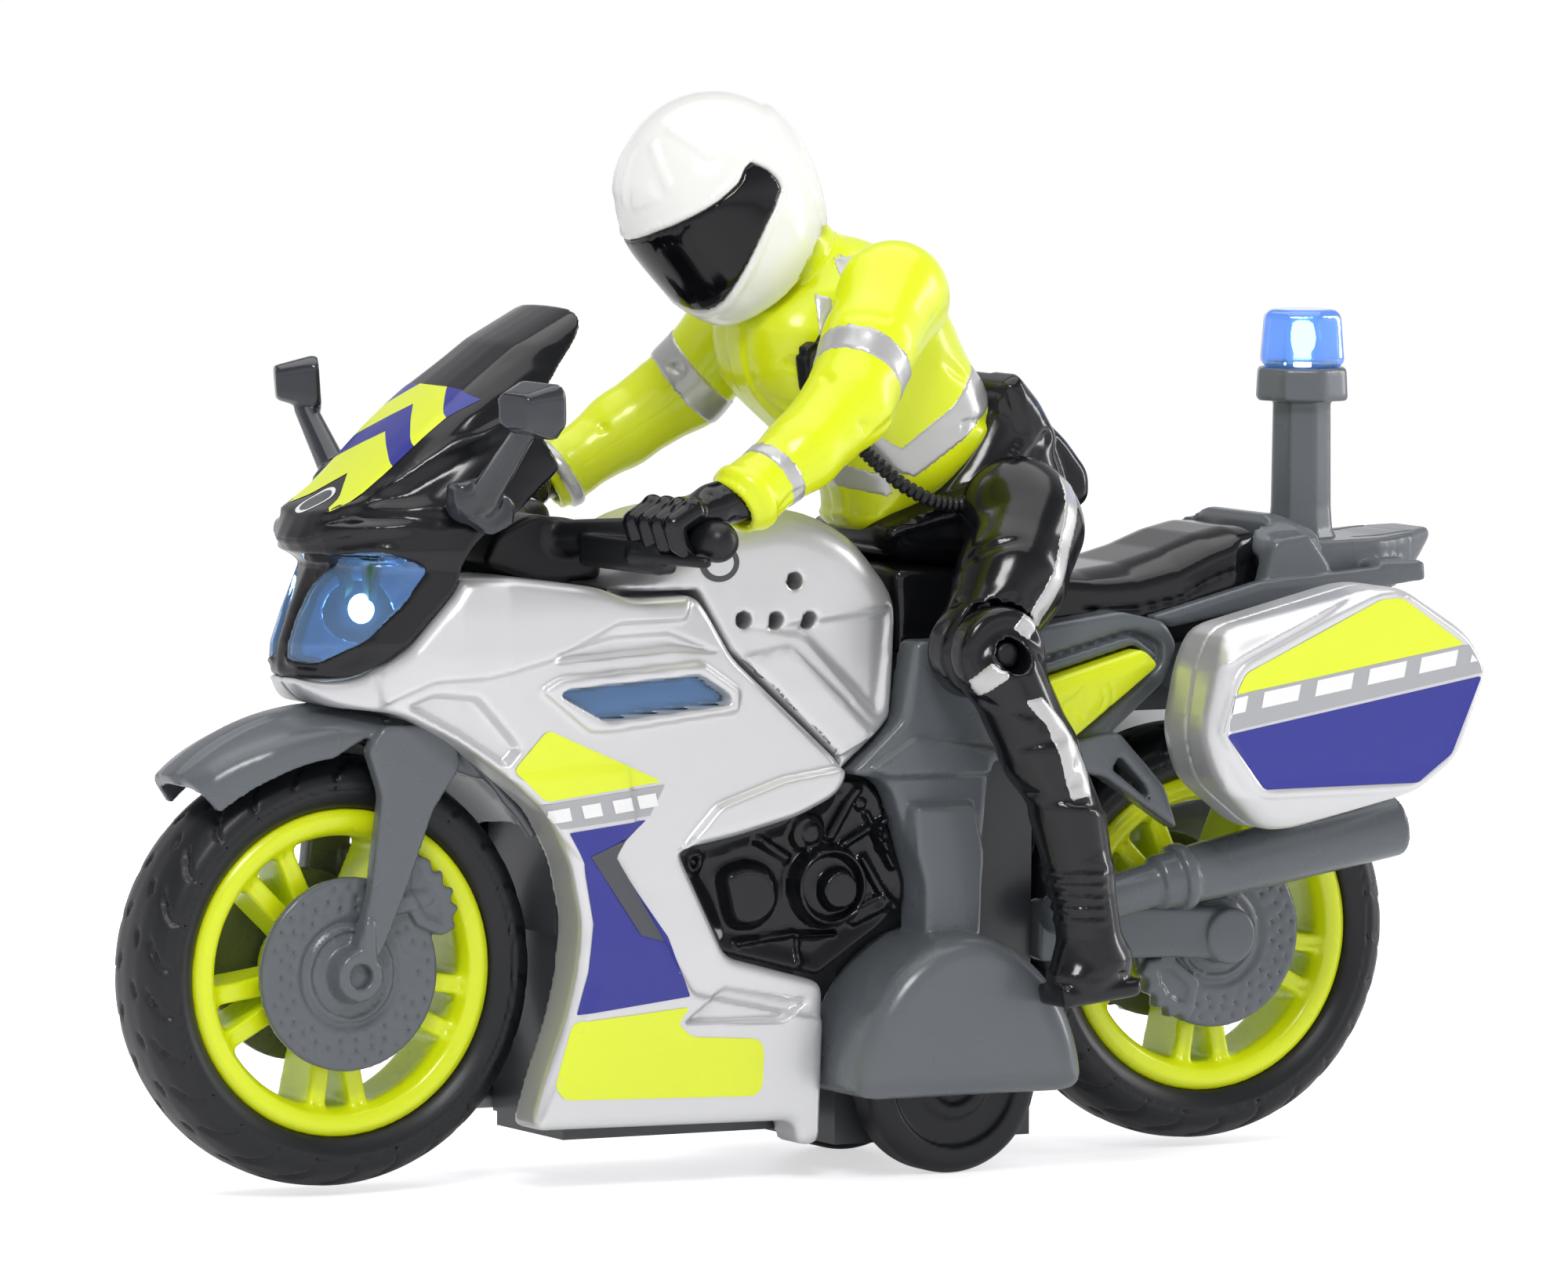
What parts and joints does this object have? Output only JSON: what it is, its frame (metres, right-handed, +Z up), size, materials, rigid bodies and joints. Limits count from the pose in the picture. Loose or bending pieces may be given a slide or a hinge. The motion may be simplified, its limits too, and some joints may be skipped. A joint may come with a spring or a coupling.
{
  "type": "toy police motorcycle",
  "caption": "Friction-drive toy patrol motorcycle with fairing, side cases, roof beacon, hidden drive wheels and a seated rider whose head, arms, hips and knees move.",
  "frame": {"origin": "centre of the footprint's bounding box, on the floor under the drive wheels", "axes": "+Z up, -X towards the front of the bike, -Y towards the rider's left side"},
  "size_m": [0.1788, 0.072, 0.1326],
  "materials": {
    "silver_body": "pearl silver, satin gloss",
    "lens_clear_blue": "clear pale blue plastic",
    "gloss_black": "gloss",
    "grey_frame": "semi-gloss mid grey",
    "matte_black": "satin",
    "inner_grey": "satin",
    "cell_steel": "plain",
    "board_green": "solder mask",
    "spring_steel": "plain",
    "lime_plastic": "gloss",
    "tyre_black": "satin",
    "jacket_lime": "semi-gloss",
    "helmet_white": "gloss"
  },
  "bodies": {
    "bike": {"shell_left": "silver_body", "shell_right": "silver_body", "tank_cover": "silver_body", "front_cowl": "gloss_black", "windscreen": "gloss_black", "headlights": "lens_clear_blue", "side_lens_left": "lens_clear_blue", "side_lens_right": "lens_clear_blue", "engine_left": "gloss_black", "engine_right": "gloss_black", "frame_left": "grey_frame", "frame_right": "grey_frame", "front_fork": "grey_frame", "swingarm_left": "grey_frame", "swingarm_right": "grey_frame", "exhaust_left": "grey_frame", "exhaust_right": "grey_frame", "pannier_left": "silver_body", "pannier_right": "silver_body", "tail_unit": "grey_frame", "tail_plate": "grey_frame", "seat": "gloss_black", "beacon_mast": "grey_frame", "beacon_lens": "lens_clear_blue", "handlebar": "matte_black", "mirror_left": "grey_frame", "mirror_right": "grey_frame", "main_frame": "inner_grey", "battery_box": "inner_grey", "battery_door": "inner_grey", "battery_cells": "cell_steel", "circuit_board": "board_green", "speaker": "matte_black", "led_board": "board_green", "button_spring": "spring_steel", "panel_right": "lime_plastic", "screws": "spring_steel", "gearbox_left": "inner_grey", "gearbox_right": "inner_grey", "front_axle": "spring_steel", "rear_axle": "spring_steel", "rider_torso": "jacket_lime", "rider_pelvis": "gloss_black"},
    "front_wheel": {"front_rim": "lime_plastic", "front_tyre": "tyre_black"},
    "rear_wheel": {"rear_rim": "lime_plastic", "rear_tyre": "tyre_black"},
    "drive": {"drive_axle": "spring_steel", "drive_wheel_left": "tyre_black", "drive_wheel_right": "tyre_black"},
    "idler": {"idler_gear": "spring_steel"},
    "flywheel_body": {"flywheel": "spring_steel"},
    "button": {"sound_button": "lime_plastic"},
    "head": {"rider_helmet": "helmet_white"},
    "arm_left": {"rider_arm_left": "jacket_lime"},
    "arm_right": {"rider_arm_right": "jacket_lime"},
    "thigh_left": {"rider_thigh_left": "gloss_black"},
    "thigh_right": {"rider_thigh_right": "gloss_black"},
    "shin_left": {"rider_shin_left": "gloss_black"},
    "shin_right": {"rider_shin_right": "gloss_black"}
  },
  "joints": [
    {"name": "front_wheel_spin", "type": "hinge", "parent": "bike", "child": "front_wheel", "pos_m": [-0.063, 0, 0.0272], "axis": [0, 1, 0], "continuous": true},
    {"name": "rear_wheel_spin", "type": "hinge", "parent": "bike", "child": "rear_wheel", "pos_m": [0.058, 0, 0.0272], "axis": [0, 1, 0], "continuous": true},
    {"name": "drive_spin", "type": "hinge", "parent": "bike", "child": "drive", "pos_m": [0.0157, 0, 0.0118], "axis": [0, 1, 0], "continuous": true},
    {"name": "idler_spin", "type": "hinge", "parent": "bike", "child": "idler", "pos_m": [0.0215, 0, 0.0193], "axis": [0, 1, 0], "continuous": true},
    {"name": "flywheel_spin", "type": "hinge", "parent": "bike", "child": "flywheel_body", "pos_m": [0.0125, 0, 0.023], "axis": [0, 1, 0], "continuous": true},
    {"name": "sound_button_press", "type": "slide", "parent": "bike", "child": "button", "axis": [0, 1, 0], "range_m": [0, 0.0012], "stiffness_N_per_m": 500, "springref_m": -0.001},
    {"name": "neck_turn", "type": "hinge", "parent": "bike", "child": "head", "pos_m": [-0.0097, 0, 0.12], "axis": [-0.698, 0, 0.7161], "range_deg": [-60, 20]},
    {"name": "shoulder_left", "type": "hinge", "parent": "bike", "child": "arm_left", "pos_m": [0.0085, -0.0135, 0.108], "axis": [0, 1, 0], "range_deg": [0, 100]},
    {"name": "shoulder_right", "type": "hinge", "parent": "bike", "child": "arm_right", "pos_m": [0.0085, 0.0135, 0.108], "axis": [0, 1, 0], "range_deg": [0, 100]},
    {"name": "hip_left", "type": "hinge", "parent": "bike", "child": "thigh_left", "pos_m": [0.026, -0.013, 0.0805], "axis": [0, 1, 0], "range_deg": [-3, 35]},
    {"name": "hip_right", "type": "hinge", "parent": "bike", "child": "thigh_right", "pos_m": [0.026, 0.013, 0.0805], "axis": [0, 1, 0], "range_deg": [-3, 35]},
    {"name": "knee_left", "type": "hinge", "parent": "thigh_left", "child": "shin_left", "pos_m": [0.0155, -0.0255, 0.065], "axis": [0, 1, 0], "range_deg": [-8, 40]},
    {"name": "knee_right", "type": "hinge", "parent": "thigh_right", "child": "shin_right", "pos_m": [0.0155, 0.0255, 0.065], "axis": [0, 1, 0], "range_deg": [-8, 40]}
  ],
  "couplings": [
    {"joint": "idler_spin", "follows": "drive_spin", "ratio": -2.1875},
    {"joint": "flywheel_spin", "follows": "drive_spin", "ratio": 6.3802}
  ]
}
